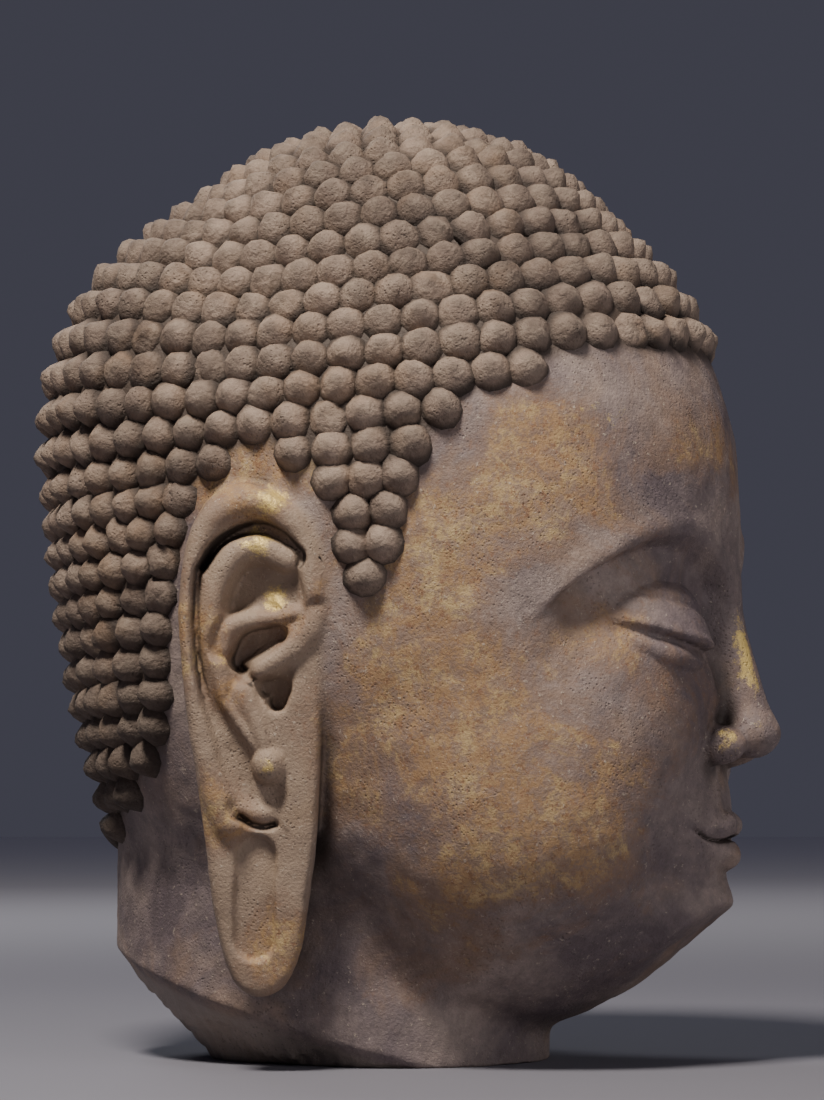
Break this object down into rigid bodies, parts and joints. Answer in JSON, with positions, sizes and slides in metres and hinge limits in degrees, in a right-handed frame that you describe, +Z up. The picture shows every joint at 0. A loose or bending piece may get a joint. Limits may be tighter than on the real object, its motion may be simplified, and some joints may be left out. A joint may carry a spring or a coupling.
{
  "type": "stone buddha head",
  "caption": "Carved stone head of a buddha with bud curls in rows, a low crown, long-lobed ears, lowered eyelids and a short broken neck on which it stands.",
  "frame": {"origin": "middle of the neck, on the flat underside that the head stands on", "axes": "+Z up, the face looks along -Y, +X to the figure's left"},
  "size_m": [0.381, 0.4866, 0.6005],
  "materials": {
    "stone": "matt weathered limestone with remains of ochre and gilding"
  },
  "bodies": {
    "root": {"buddha_head": "stone"}
  },
  "joints": []
}
